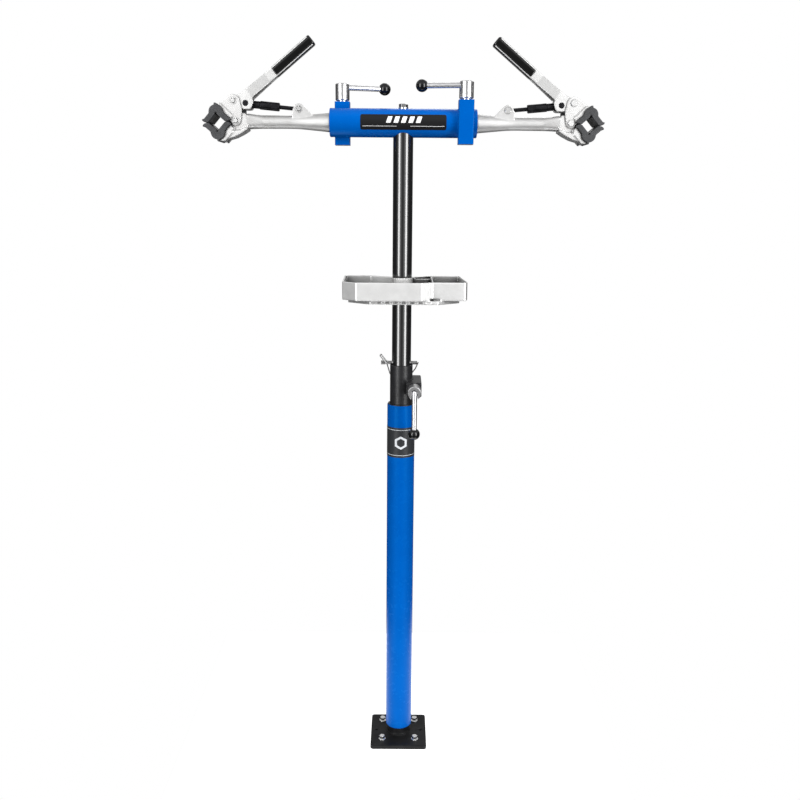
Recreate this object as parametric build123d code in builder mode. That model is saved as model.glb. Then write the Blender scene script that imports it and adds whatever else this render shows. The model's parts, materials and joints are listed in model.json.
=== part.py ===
from build123d import *

import os
from math import cos, radians, sin

# Bolt-down repair stand for bicycles: a post with a flange, a mast that lifts and turns in it,
# a cross beam, a tool tray and two rotating tube clamps. Millimetres, +Z up, X along the beam,
# Y away from the user. The origin is the middle of the flange's underside.

# ---- driving dimensions ------------------------------------------------------------------
FIT = 0.05               # radial running clearance of a shaft in its hole
GAP = 0.3                # clearance between parts that pass each other

BEAM_Z = 1398.0          # height of the beam's axis
BEAM_R = 28.575
BEAM_WALL = 3.0
BEAM_LENGTH = 300.0
BEAM_BOLT_R = 5.0        # bolt that holds the beam on the mast

MAST_R = 20.65           # 1-5/8 inch tube
MAST_WALL = 2.5
MAST_BOTTOM = 430.0
PLUG_H = 30.0            # threaded plug in the mast's top end

PLATE_SIZE = 130.0
PLATE_THICK = 9.5
PLATE_CORNER_R = 6.0
BOLT_SPACING = 76.2
BOLT_R = 3.175
BOLT_PLAY = 0.4          # room round the bolt in the flange and the washers
SHANK_R = 2.76           # plain part of the bolt, at the diameter its thread is rolled from
BOLT_HEAD_AF = 11.1
BOLT_HEAD_H = 7.5
STUD_LENGTH = 20.0       # bolt that stands out below the flange
WASHER_R = 7.95
WASHER_THICK = 1.6
SIDE_HOLE_SPACING = 104.0
SIDE_HOLE_R = 3.25

POST_R = 30.15           # 2-3/8 inch tube
POST_WALL = 2.9
POST_BOTTOM = 30.0
POST_TOP = 809.5
STUB_R = 24.15
STUB_TOP = 160.0

SLEEVE_R = 24.5
SLEEVE_BOTTOM = 702.0
SLEEVE_TOP = 896.5

HOUSING_SIZE = 31.0      # square tube that holds a pair of clamping wedges
HOUSING_LENGTH = 86.0
HOUSING_CORNER_R = 3.0
HOUSING_OFFSET = 28.0    # from the axis of the clamped tube
WEDGE_R = 12.5
WEDGE_SPLIT = 8.0        # space between the two wedges of a pair
HEIGHT_LOCK_Z = 849.0
BEAM_LOCK_X = 126.0
SCREW_R = 5.0
BARREL_R = 14.5
BARREL_FOOT = 2.5        # barrel's lower and upper ends, above the housing's end
BARREL_TOP = 36.0
BAR_R = 5.5
BAR_REACH = 90.0         # from the barrel's axis to the middle of the ball
BAR_HEIGHT = BARREL_TOP - 7.3
SLOT_HALF = 7.0          # half width of the barrel's slot
CROSS_PIN_R = 1.5
BALL_R = 12.5

PIN_Z = 900.6
PIN_R = 4.0
PIN_LEFT = -44.0
PIN_RIGHT = 34.0
BAIL_X = -33.0
BAIL_WIRE_R = 1.25

TRAY_RIM_Z = 1081.0
TRAY_LEDGE_Z = 1043.5
TRAY_PAN_Z = 1035.5
TRAY_WALL = 3.0
TRAY_OUTLINE = [
    (-93.4, -95), (40, -95), (62.7, -80), (131, -80), (135, -60), (128, 90), (62, 90), (24, 60),
    (-22, 60), (-68, 90), (-127.5, 90), (-123, -70),
]
PAN_OUTLINE = [
    (-65, -86), (74, -86), (120, -48), (116, 66), (58, 76), (24, 50), (-22, 50), (-64, 76), (-114, 66),
    (-112, -48),
]
TRAY_RIB = 2.6
TRAY_SLOTS = 7           # shallow slots along the front of the pan
TRAY_SLOT_DEEP = 2.0
HUB_WALL = 7.0
HUB_TOP_Z = 1061.5
COLLAR_R = 22.6
COLLAR_FLANGE_R = 25.5   # flange sunk in the underside of the tray's hub
COLLAR_FLANGE_H = 5.0

SPIGOT_R = 19.05         # 1-1/2 inch clamp arm end, inside the beam
ARM_R = 13.5

# Clamp pivots in the clamp's own plane: along the beam and above the beam's axis.
LEVER_PIVOT = (-343.6, 39.5)
JAW_PIVOT = (-339.4, 0.6)
LINK_PIVOT = (-319.4, 35.3)
LUG_PIVOT = (-212.3, 25.6)
JAW_CENTRE = (-376.3, -3.0)
JAW_TILT = 4.0
PIVOT_R = 4.0
HUB_R = 9.0
HUB_HALF = 17.5          # half width of the jaw hub
JAW_PLATE_IN = 18.0      # inner and outer faces of the jaw's side plates
JAW_PLATE_OUT = 22.0
LEVER_HALF = 17.5
LEVER_CHEEK = 3.5
PAD_HALF = 32.0
SADDLE_HALF = 26.0
LUG_IN = 6.6             # inner and outer faces of the link's lugs
LUG_OUT = 11.0

# Jaw pads, about the middle of the square opening.
VEE = 17.0               # half diagonal of the opening
LOBE_R = 14.0
LOBE_HEIGHT = 20.0
PEG_AT = Vector(14.6, -15.0, 0)
PEG_R = 2.2
PEG_LENGTH = 25.5

# Lever handle: across it from the beam's axis, and along it from the stand's middle.
HANDLE_ANGLE = 39.5
HANDLE_LOW = 230.0
HANDLE_HIGH = 250.5
HANDLE_HALF = 11.0
TAPER_START = -205.0
TAPER_END = -158.0
GRIP_START = -141.0
GRIP_LENGTH = 100.0
GRIP_END = GRIP_START + GRIP_LENGTH

# Link between lever and lug, measured along it from the lug pivot.
ADJUSTER_NEAR = 40.5
ADJUSTER_FAR = 80.0
ADJUSTER_R = 8.5
LINK_EYE_HALF = 6.2

os.makedirs("parts", exist_ok=True)


def save(builder, label):
    """Label a finished piece and write it as its own STEP."""
    builder.part.label = label
    export_step(builder.part, f"parts/{label}.step")


# ---- flange, post and its bushes ---------------------------------------------------------
def base_plate():
    """Square flange with the welded stub tube that carries the post."""
    weld_h = 4.0
    with BuildPart() as plate:
        with BuildSketch():
            RectangleRounded(PLATE_SIZE, PLATE_SIZE, PLATE_CORNER_R)
            with GridLocations(BOLT_SPACING, BOLT_SPACING, 2, 2):
                Circle(BOLT_R + BOLT_PLAY, mode=Mode.SUBTRACT)
            with GridLocations(SIDE_HOLE_SPACING, 0, 2, 1):
                Circle(SIDE_HOLE_R, mode=Mode.SUBTRACT)
        extrude(amount=PLATE_THICK)
        rim = plate.faces().sort_by(Axis.Z)[-1].outer_wire().edges()
        fillet(rim, 1.5)
        with BuildSketch(Plane.XZ):
            with BuildLine():
                Polyline(
                    (0, PLATE_THICK), (STUB_R + weld_h, PLATE_THICK), (STUB_R, PLATE_THICK + weld_h),
                    (STUB_R, STUB_TOP), (0, STUB_TOP), close=True,
                )
            make_face()
        revolve(axis=Axis.Z)
        with BuildSketch(Plane.XY.offset(PLATE_THICK)):
            Circle(STUB_R - 3.2)
        extrude(amount=STUB_TOP, mode=Mode.SUBTRACT)
    save(plate, "base_plate")


def base_fasteners():
    """Four hexagon bolts that hold the flange down, and their washers."""
    head_z = PLATE_THICK + WASHER_THICK
    with BuildPart() as bolts:
        with BuildSketch(Plane.XY.offset(head_z)):
            with GridLocations(BOLT_SPACING, BOLT_SPACING, 2, 2):
                RegularPolygon(BOLT_HEAD_AF / 2, 6, major_radius=False)
        extrude(amount=BOLT_HEAD_H)
        chamfer(bolts.faces().filter_by(Axis.Z).group_by(Axis.Z)[-1].edges(), 0.5)
        with BuildSketch(Plane.XY.offset(-STUD_LENGTH)):
            with GridLocations(BOLT_SPACING, BOLT_SPACING, 2, 2):
                Circle(BOLT_R)
        extrude(amount=STUD_LENGTH)
        with BuildSketch():
            with GridLocations(BOLT_SPACING, BOLT_SPACING, 2, 2):
                Circle(SHANK_R)
        extrude(amount=head_z)
    save(bolts, "base_bolts")
    with BuildPart() as washers:
        with BuildSketch(Plane.XY.offset(PLATE_THICK)):
            with GridLocations(BOLT_SPACING, BOLT_SPACING, 2, 2):
                Circle(WASHER_R)
                Circle(BOLT_R + BOLT_PLAY, mode=Mode.SUBTRACT)
        extrude(amount=WASHER_THICK)
    save(washers, "base_washers")


def post_tube():
    """Painted lower tube, its lower edge rolled round."""
    inner_r = POST_R - POST_WALL
    with BuildPart() as tube:
        with BuildSketch(Plane.XY.offset(POST_BOTTOM)):
            Circle(POST_R)
            Circle(inner_r, mode=Mode.SUBTRACT)
        extrude(amount=POST_TOP - POST_BOTTOM)
        outer = tube.edges().filter_by(GeomType.CIRCLE).group_by(SortBy.RADIUS)[-1]
        fillet(outer.sort_by(Axis.Z)[0], 2.5)
        fillet(outer.sort_by(Axis.Z)[-1], 1.2)
    save(tube, "post_tube")


def ring(label, outer_r, inner_r, spans):
    """Plain rings about Z, one for each span of heights."""
    with BuildPart() as rings:
        for low, high in spans:
            with BuildSketch(Plane.XY.offset(low)):
                Circle(outer_r)
                Circle(inner_r, mode=Mode.SUBTRACT)
            extrude(amount=high - low)
    save(rings, label)


def post_bushes():
    """Rings that centre the post tube on the stub and the sleeve in the post tube."""
    bore = POST_R - POST_WALL
    lip_h = 1.8
    with BuildPart() as bushes:
        for low, high, inner_r in ((POST_BOTTOM + 3, 60, STUB_R), (130, 156, STUB_R),
                                   (706, 726, SLEEVE_R), (784, POST_TOP, SLEEVE_R)):
            with BuildSketch(Plane.XY.offset(low)):
                Circle(bore)
                Circle(inner_r, mode=Mode.SUBTRACT)
            extrude(amount=high - low)
        with BuildSketch(Plane.XY.offset(POST_TOP)):
            Circle(POST_R - 1.4)
            Circle(SLEEVE_R, mode=Mode.SUBTRACT)
        extrude(amount=lip_h)
    save(bushes, "post_bushes")


def post_label():
    """Thin wrap-round label near the top of the post."""
    label_bottom, label_h, thick = 694.0, 67.0, 0.3
    with BuildPart() as label:
        with BuildSketch(Plane.XY.offset(label_bottom)):
            Circle(POST_R + thick)
            Circle(POST_R, mode=Mode.SUBTRACT)
            with Locations((0, POST_R)):
                Rectangle(3 * POST_R, 1.2 * POST_R, mode=Mode.SUBTRACT)
        extrude(amount=label_h)
    save(label, "post_label")


# ---- clamping locks: square housing, two wedges, threaded barrel, bar and ball --------------
def lock_plane(side):
    """Local frame of a lock: Z along its screw, out of the housing's end; X along its bar."""
    if side == "height":
        return Plane(origin=(HOUSING_OFFSET, -HOUSING_LENGTH / 2, HEIGHT_LOCK_Z),
                     x_dir=(0, 0, -1), z_dir=(0, -1, 0))
    sign, swing = (-1, 16.0) if side == "left" else (1, 9.0)
    return Plane(origin=(sign * BEAM_LOCK_X, -sign * HOUSING_OFFSET, BEAM_Z + HOUSING_LENGTH / 2),
                 x_dir=(-sign * cos(radians(swing)), sin(radians(swing)), 0), z_dir=(0, 0, 1))


def clamped_tube(side):
    """Plane whose Z runs along the tube that this lock grips, and that tube's radius."""
    if side == "height":
        return Plane.XY.offset(HEIGHT_LOCK_Z), MAST_R
    centre_x = -BEAM_LOCK_X if side == "left" else BEAM_LOCK_X
    return Plane(origin=(centre_x, 0, BEAM_Z), x_dir=(0, 1, 0), z_dir=(1, 0, 0)), SPIGOT_R


def lock_housing(side):
    """Solid square housing, before its weldment is bored."""
    plane = lock_plane(side)
    square_x = (1, 0, 0) if side != "height" else (0, 0, 1)
    with BuildPart() as housing:
        with BuildSketch(Plane(origin=plane.origin, x_dir=square_x, z_dir=plane.z_dir)):
            RectangleRounded(HOUSING_SIZE, HOUSING_SIZE, HOUSING_CORNER_R)
        extrude(amount=-HOUSING_LENGTH)
    return housing.part


def lock_bore(side):
    """Round wedge bore of a housing, as the solid to be cut away."""
    with BuildPart() as bore:
        with BuildSketch(lock_plane(side)):
            Circle(WEDGE_R + FIT)
        extrude(amount=-HOUSING_LENGTH)
    return bore.part


def wedge(label, sides, moving):
    """Round wedges with a hollow that fits the clamped tube; the moving one holds the thread."""
    length = (HOUSING_LENGTH - WEDGE_SPLIT) / 2
    top = -(HOUSING_LENGTH + WEDGE_SPLIT) / 2 if moving else 0.0
    hole_r = SCREW_R + (FIT if moving else 2 * GAP)
    with BuildPart() as slug:
        for side in sides:
            with BuildSketch(lock_plane(side).offset(top)):
                Circle(WEDGE_R)
                Circle(hole_r, mode=Mode.SUBTRACT)
            extrude(amount=-length)
            plane, tube_r = clamped_tube(side)
            with BuildSketch(plane):
                Circle(tube_r + GAP)
            extrude(amount=HOUSING_SIZE, both=True, mode=Mode.SUBTRACT)
    save(slug, label)


def lock_barrel(side):
    """Chromed barrel with its screw, and a round-ended slot that holds the bar on a cross pin."""
    plane = lock_plane(side)
    screw_end = -(HOUSING_LENGTH - 6.0)
    slot_floor = BAR_HEIGHT - BAR_R - GAP
    with BuildPart() as barrel:
        with BuildSketch(plane.offset(BARREL_FOOT)):
            Circle(BARREL_R)
        extrude(amount=BARREL_TOP - BARREL_FOOT)
        chamfer(barrel.edges().filter_by(GeomType.CIRCLE), 1.4)
        with BuildSketch(plane.offset(GAP)):
            Circle(BARREL_R - 4)
        extrude(amount=BARREL_FOOT - GAP)
        with BuildSketch(plane.offset(screw_end)):
            Circle(SCREW_R)
        extrude(amount=BARREL_FOOT - screw_end)
        with BuildSketch(plane.offset(slot_floor)):
            Circle(SLOT_HALF)
            with Locations((BARREL_R, 0)):
                Rectangle(2 * BARREL_R, 2 * SLOT_HALF)
        extrude(amount=BARREL_TOP, mode=Mode.SUBTRACT)
        with BuildSketch(cross_pin_plane(side)):
            Circle(CROSS_PIN_R)
        extrude(amount=BARREL_R, both=True, mode=Mode.SUBTRACT)
    save(barrel, f"{side}_lock_barrel")


def cross_pin_plane(side):
    """Plane at the bar's root, its Z along the pin that holds the bar in the barrel."""
    plane = lock_plane(side)
    root = plane.from_local_coords(Vector(0, 0, BAR_HEIGHT))
    return Plane(origin=root, x_dir=plane.x_dir, z_dir=plane.y_dir)


def lock_bar(side):
    """Round-ended bar with its cross pin, and the ball on its end."""
    pin_half = BARREL_R - 2.0
    flat = 7.0
    plane = lock_plane(side)
    along = Plane(origin=cross_pin_plane(side).origin, x_dir=plane.y_dir, z_dir=plane.x_dir)
    with BuildPart() as bar:
        with BuildSketch(along):
            Circle(BAR_R)
        extrude(amount=BAR_REACH - 3.5)
        with Locations(along.location):
            Sphere(BAR_R)
        with BuildSketch(cross_pin_plane(side)):
            Circle(CROSS_PIN_R)
        extrude(amount=pin_half, both=True)
    save(bar, f"{side}_lock_bar")
    with BuildPart() as ball:
        with BuildSketch(Plane(origin=along.origin, x_dir=along.z_dir, z_dir=along.y_dir)):
            with BuildLine():
                edge = BAR_REACH - (BALL_R ** 2 - flat ** 2) ** 0.5
                ThreePointArc((edge, flat), (BAR_REACH, BALL_R), (BAR_REACH + BALL_R, 0))
                Polyline((BAR_REACH + BALL_R, 0), (BAR_REACH - 3.5, 0), (BAR_REACH - 3.5, BAR_R),
                         (edge, BAR_R), (edge, flat))
            make_face()
        revolve(axis=Axis(along.origin, along.z_dir))
    save(ball, f"{side}_lock_ball")


# ---- clamp sleeve on the post ----------------------------------------------------------------
def clamp_sleeve():
    """Sleeve fixed in the post's top, with the welded housing of the height lock."""
    housing = lock_housing("height")
    bore = lock_bore("height")
    with BuildPart() as sleeve:
        with BuildSketch(Plane.XY.offset(SLEEVE_BOTTOM)):
            Circle(SLEEVE_R)
        extrude(amount=SLEEVE_TOP - SLEEVE_BOTTOM)
        chamfer(sleeve.edges().filter_by(GeomType.CIRCLE).sort_by(Axis.Z)[-1], 0.6)
        add(housing)
        with BuildSketch(Plane.XY.offset(SLEEVE_BOTTOM)):
            Circle(MAST_R + FIT)
        extrude(amount=SLEEVE_TOP - SLEEVE_BOTTOM, mode=Mode.SUBTRACT)
        add(bore, mode=Mode.SUBTRACT)
    save(sleeve, "clamp_sleeve")


# ---- mast -----------------------------------------------------------------------------------
def mast_tube():
    """Glossy tube, its top cut to the beam's curve, with the cross hole of the safety pin."""
    with BuildPart() as tube:
        with BuildSketch(Plane.XY.offset(MAST_BOTTOM)):
            Circle(MAST_R)
            Circle(MAST_R - MAST_WALL, mode=Mode.SUBTRACT)
        extrude(amount=BEAM_Z - MAST_BOTTOM)
        with BuildSketch(Plane.YZ):
            with Locations((0, BEAM_Z)):
                Circle(BEAM_R)
        extrude(amount=2 * MAST_R, both=True, mode=Mode.SUBTRACT)
        with BuildSketch(Plane.YZ):
            with Locations((0, PIN_Z)):
                Circle(PIN_R + FIT)
        extrude(amount=2 * MAST_R, both=True, mode=Mode.SUBTRACT)
    save(tube, "mast_tube")


def mast_plug():
    """Threaded plug in the mast's top end, its head cut to the beam's curve."""
    with BuildPart() as plug:
        with BuildSketch(Plane.XY.offset(BEAM_Z - BEAM_R - PLUG_H)):
            Circle(MAST_R - MAST_WALL)
            Circle(BEAM_BOLT_R, mode=Mode.SUBTRACT)
        extrude(amount=PLUG_H + BEAM_R)
        with BuildSketch(Plane.YZ):
            with Locations((0, BEAM_Z)):
                Circle(BEAM_R)
        extrude(amount=2 * MAST_R, both=True, mode=Mode.SUBTRACT)
    save(plug, "mast_plug")


def beam_bolt():
    """Long hexagon bolt through the beam into the mast's plug, on a curved washer."""
    head_af, head_h, washer_h = 16.4, 7.2, 1.8
    seat = BEAM_Z + BEAM_R
    with BuildPart() as bolt:
        with BuildSketch(Plane.XY.offset(seat + washer_h)):
            RegularPolygon(head_af / 2, 6, major_radius=False)
        extrude(amount=head_h)
        chamfer(bolt.faces().sort_by(Axis.Z)[-1].edges(), 0.8)
        with BuildSketch(Plane.XY.offset(BEAM_Z)):
            Circle(head_af * 0.62)
        extrude(amount=BEAM_R + washer_h)
        with BuildSketch(Plane.YZ):
            with Locations((0, BEAM_Z)):
                Circle(BEAM_R)
        extrude(amount=head_af, both=True, mode=Mode.SUBTRACT)
        with BuildSketch(Plane.XY.offset(BEAM_Z - BEAM_R - PLUG_H + 4)):
            Circle(BEAM_BOLT_R)
        extrude(amount=2 * BEAM_R + PLUG_H)
    save(bolt, "beam_bolt")


def beam():
    """Painted cross tube with a welded lock housing at each end."""
    housings = [lock_housing("left"), lock_housing("right")]
    bores = [lock_bore("left"), lock_bore("right")]
    with BuildPart() as weldment:
        with BuildSketch(Plane.YZ.offset(-BEAM_LENGTH / 2)):
            with Locations((0, BEAM_Z)):
                Circle(BEAM_R)
        extrude(amount=BEAM_LENGTH)
        chamfer(weldment.edges().filter_by(GeomType.CIRCLE), 1.0)
        add(housings)
        with BuildSketch(Plane.YZ.offset(-BEAM_LENGTH / 2)):
            with Locations((0, BEAM_Z)):
                Circle(BEAM_R - BEAM_WALL)
        extrude(amount=BEAM_LENGTH, mode=Mode.SUBTRACT)
        add(bores, mode=Mode.SUBTRACT)
        with BuildSketch(Plane.XY.offset(BEAM_Z)):
            Circle(BEAM_BOLT_R)
        extrude(amount=BEAM_LENGTH / 2, both=True, mode=Mode.SUBTRACT)
    save(weldment, "beam")


def beam_bushes():
    """Rings in the beam that the clamp arms turn in."""
    spans = ((-149.0, -142.0), (-100.0, -70.0), (70.0, 100.0), (142.0, 149.0))
    with BuildPart() as bushes:
        for low, high in spans:
            with BuildSketch(Plane.YZ.offset(low)):
                with Locations((0, BEAM_Z)):
                    Circle(BEAM_R - BEAM_WALL)
                    Circle(SPIGOT_R + FIT, mode=Mode.SUBTRACT)
            extrude(amount=high - low)
    save(bushes, "beam_bushes")


def beam_label():
    """Thin label with round corners on the front of the beam."""
    length, height, corner, thick = 174.0, 30.0, 4.0, 0.3
    with BuildPart() as label:
        with BuildSketch(Plane.YZ.offset(-length / 2)):
            with Locations((0, BEAM_Z)):
                Circle(BEAM_R + thick)
                Circle(BEAM_R, mode=Mode.SUBTRACT)
        extrude(amount=length)
        with BuildSketch(Plane.XZ):
            with Locations((0, BEAM_Z)):
                RectangleRounded(length, height, corner)
        extrude(amount=2 * BEAM_R, mode=Mode.INTERSECT)
    save(label, "beam_label")


def mast_glide():
    """Plastic ring at the mast's foot that guides it inside the post."""
    ring("mast_glide", POST_R - POST_WALL - FIT, MAST_R + FIT, ((MAST_BOTTOM, MAST_BOTTOM + 30),))


# ---- safety pin -------------------------------------------------------------------------------
def safety_pin():
    """Cross pin that rests on the sleeve, with a waisted groove for its wire bail."""
    head_r, head_len = PIN_R + 0.6, 8.0
    with BuildPart() as pin:
        with BuildSketch(Plane.YZ.offset(PIN_LEFT)):
            with Locations((0, PIN_Z)):
                Circle(PIN_R)
        extrude(amount=PIN_RIGHT - PIN_LEFT)
        chamfer(pin.edges().filter_by(GeomType.CIRCLE).sort_by(Axis.X)[-1], 1.2)
        with BuildSketch(Plane.YZ.offset(PIN_LEFT)):
            with Locations((0, PIN_Z)):
                Circle(head_r)
        extrude(amount=head_len)
        chamfer(pin.edges().filter_by(GeomType.CIRCLE).sort_by(Axis.X)[0], 0.8)
        with BuildSketch(Plane.XZ):
            with Locations((BAIL_X, PIN_Z)):
                Circle(BAIL_WIRE_R + FIT)
        extrude(amount=2 * PIN_R, both=True, mode=Mode.SUBTRACT)
    save(pin, "safety_pin")


def pin_bail():
    """Spring wire: root in the pin, finger loop up and left, bow behind the mast."""
    loop_y, bow_y = 6.5, 28.0
    route = [
        (BAIL_X, -2.0, PIN_Z),
        (BAIL_X, -loop_y, PIN_Z),
        (BAIL_X - 13, -loop_y, PIN_Z + 15),
        (BAIL_X - 12, loop_y, PIN_Z + 18),
        (BAIL_X + 1, loop_y + 1, PIN_Z + 1),
        (BAIL_X + 1, bow_y, PIN_Z - 7),
        (BAIL_X + 9, bow_y, PIN_Z - 34),
        (20, bow_y + 1, PIN_Z - 33),
        (31, bow_y, PIN_Z - 18),
        (37, bow_y - 1, PIN_Z - 4),
    ]
    radii = [2.0, 4.0, 4.5, 5.0, 8.0, 8.0, 8.0, 10.0]
    with BuildPart() as bail:
        with BuildLine() as path:
            FilletPolyline(*route, radius=radii)
        with BuildSketch(Plane(origin=path.wire() @ 0, z_dir=path.wire() % 0)):
            Circle(BAIL_WIRE_R)
        sweep(transition=Transition.ROUND)
    save(bail, "pin_bail")


# ---- tool tray --------------------------------------------------------------------------------
def tray():
    """Cast tray: walled ledge, deeper pan, dividers and the hub that turns on the collar."""
    floor_z = TRAY_LEDGE_Z + TRAY_WALL
    pan_floor_z = TRAY_PAN_Z + TRAY_WALL
    with BuildPart() as cast:
        with BuildSketch(Plane.XY.offset(TRAY_LEDGE_Z)):
            Polygon(*TRAY_OUTLINE, align=None)
            fillet(vertices(), 4.0)
        extrude(amount=TRAY_RIM_Z - TRAY_LEDGE_Z)
        with BuildSketch(Plane.XY.offset(TRAY_PAN_Z)):
            Polygon(*PAN_OUTLINE, align=None)
            fillet(vertices(), 6.0)
        extrude(amount=TRAY_LEDGE_Z - TRAY_PAN_Z)
        with BuildSketch(Plane.XY.offset(floor_z)):
            Polygon(*TRAY_OUTLINE, align=None)
            fillet(vertices(), 4.0)
            offset(amount=-TRAY_WALL, mode=Mode.REPLACE)
        extrude(amount=TRAY_RIM_Z - floor_z, mode=Mode.SUBTRACT)
        with BuildSketch(Plane.XY.offset(pan_floor_z)):
            Polygon(*PAN_OUTLINE, align=None)
            fillet(vertices(), 6.0)
            offset(amount=-TRAY_WALL, mode=Mode.REPLACE)
        extrude(amount=floor_z - pan_floor_z, mode=Mode.SUBTRACT)
        with BuildSketch(Plane.XY.offset(pan_floor_z - 1)):
            with BuildLine():
                Polyline((63.5, 88), (63.5, -78))
            trace(line_width=TRAY_RIB)
        extrude(amount=TRAY_RIM_Z - pan_floor_z + 1)
        with BuildSketch(Plane.XY.offset(pan_floor_z - 1)):
            with BuildLine():
                Polyline((28, 58), (28, 40), (57, 40), (63, 48))
            trace(line_width=TRAY_RIB)
        extrude(amount=TRAY_RIM_Z - pan_floor_z - 2)
        with BuildSketch(Plane.XY.offset(TRAY_PAN_Z)):
            Circle(COLLAR_R + HUB_WALL)
        extrude(amount=HUB_TOP_Z - TRAY_PAN_Z)
        with BuildSketch(Plane.XY.offset(TRAY_PAN_Z)):
            Circle(COLLAR_R + FIT)
        extrude(amount=TRAY_RIM_Z - TRAY_PAN_Z, mode=Mode.SUBTRACT)
        with BuildSketch(Plane.XY.offset(TRAY_PAN_Z)):
            Circle(COLLAR_FLANGE_R + GAP)
        extrude(amount=COLLAR_FLANGE_H, mode=Mode.SUBTRACT)
        with BuildSketch(Plane.XZ.offset(-PAN_OUTLINE[0][1])):
            with Locations((4, (TRAY_PAN_Z + TRAY_LEDGE_Z) / 2 + 0.6)):
                with GridLocations(17, 0, TRAY_SLOTS, 1):
                    SlotOverall(11, 3.2)
        extrude(amount=-TRAY_SLOT_DEEP, mode=Mode.SUBTRACT)
    save(cast, "tray")


def tray_collar():
    """Ribbed neck held on the mast, with the flange that carries the tray, and its set screw."""
    ribs, rib_h = 24, 16.0
    neck_top = TRAY_RIM_Z + 3.0
    screw_z, screw_r, boss_r, screw_end = neck_top - 7.0, 2.5, 4.5, 26.0
    with BuildPart() as collar:
        with BuildSketch(Plane.XY.offset(TRAY_PAN_Z)):
            Circle(COLLAR_R)
        extrude(amount=neck_top - TRAY_PAN_Z)
        with BuildSketch(Plane.XY.offset(TRAY_PAN_Z)):
            Circle(COLLAR_FLANGE_R)
        extrude(amount=COLLAR_FLANGE_H - GAP)
        with BuildSketch(Plane.XY.offset(neck_top - rib_h)):
            with PolarLocations(COLLAR_R, ribs):
                Circle(1.0)
        extrude(amount=rib_h, mode=Mode.SUBTRACT)
        with BuildSketch(Plane.XZ.offset(-MAST_R)):
            with Locations((0, screw_z)):
                Circle(boss_r)
        extrude(amount=MAST_R - screw_end)
        with BuildSketch(Plane.XY.offset(TRAY_PAN_Z)):
            Circle(MAST_R + FIT)
        extrude(amount=neck_top - TRAY_PAN_Z, mode=Mode.SUBTRACT)
        with BuildSketch(Plane.XZ):
            with Locations((0, screw_z)):
                Circle(screw_r)
        extrude(amount=-2 * COLLAR_R, mode=Mode.SUBTRACT)
    save(collar, "tray_collar")
    with BuildPart() as screw:
        with BuildSketch(Plane.XZ.offset(-MAST_R - 4 * FIT)):
            with Locations((0, screw_z)):
                Circle(screw_r)
        extrude(amount=MAST_R + 4 * FIT - screw_end)
        with BuildSketch(Plane.XZ.offset(-screw_end)):
            with Locations((0, screw_z)):
                RegularPolygon(1.25, 6, major_radius=False)
        extrude(amount=2.5, mode=Mode.SUBTRACT)
    save(screw, "collar_screw")


# ---- tube clamps ------------------------------------------------------------------------------
def clamp_plane(side):
    """Plane of a clamp: X towards the jaw is negative, Y is up, Z is towards the pins' rings."""
    sign = 1 if side == "left" else -1
    return Plane(origin=(0, 0, BEAM_Z), x_dir=(sign, 0, 0), z_dir=(0, -sign, 0))


def local_plane(side, point, angle):
    """Plane at a point of the clamp, its X turned by an angle in the clamp's plane."""
    base = clamp_plane(side)
    along = base.x_dir * cos(radians(angle)) + base.y_dir * sin(radians(angle))
    return Plane(origin=base.from_local_coords(Vector(point[0], point[1], 0)), x_dir=along, z_dir=base.z_dir)


def pad_outline(up):
    """Draw one pad's profile in the open sketch: arms with beaks, round lobe, nib and the vee."""
    outer = VEE + 15.5
    Polygon(
        (-VEE + 0.5, 0.5 * up), (VEE - 0.5, 0.5 * up), (24, 1.0 * up), (27.5, 3.5 * up),
        (27.5, 7.0 * up), (25, 7.6 * up), (0, outer * up), (-25, 7.6 * up), (-29, 7.0 * up), (-28, 3.5 * up),
        (-24, 1.0 * up), align=None,
    )
    with Locations((0, LOBE_HEIGHT * up)):
        Circle(LOBE_R)
    with Locations((0, (LOBE_HEIGHT + LOBE_R + 1) * up)):
        Rectangle(4, 5)
    Polygon((-VEE + 0.5, 0.5 * up), (-VEE + 0.5, 0), (VEE - 0.5, 0), (VEE - 0.5, 0.5 * up), (0, VEE * up),
            align=None, mode=Mode.SUBTRACT)
    with Locations((0, VEE * up)):
        Circle(2.4, mode=Mode.SUBTRACT)


def pad(side, up, label):
    """Moulded jaw pad; the lower one has a peg through the casting."""
    plane = local_plane(side, JAW_CENTRE, JAW_TILT)
    with BuildPart() as block:
        with BuildSketch(plane):
            pad_outline(up)
        extrude(amount=PAD_HALF, both=True)
        if up < 0:
            peg_plane = Plane(origin=plane.from_local_coords(PEG_AT), x_dir=plane.x_dir, z_dir=-plane.y_dir)
            with BuildSketch(peg_plane):
                Circle(PEG_R)
            extrude(amount=PEG_LENGTH)
    save(block, f"{side}_{label}")


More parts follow.
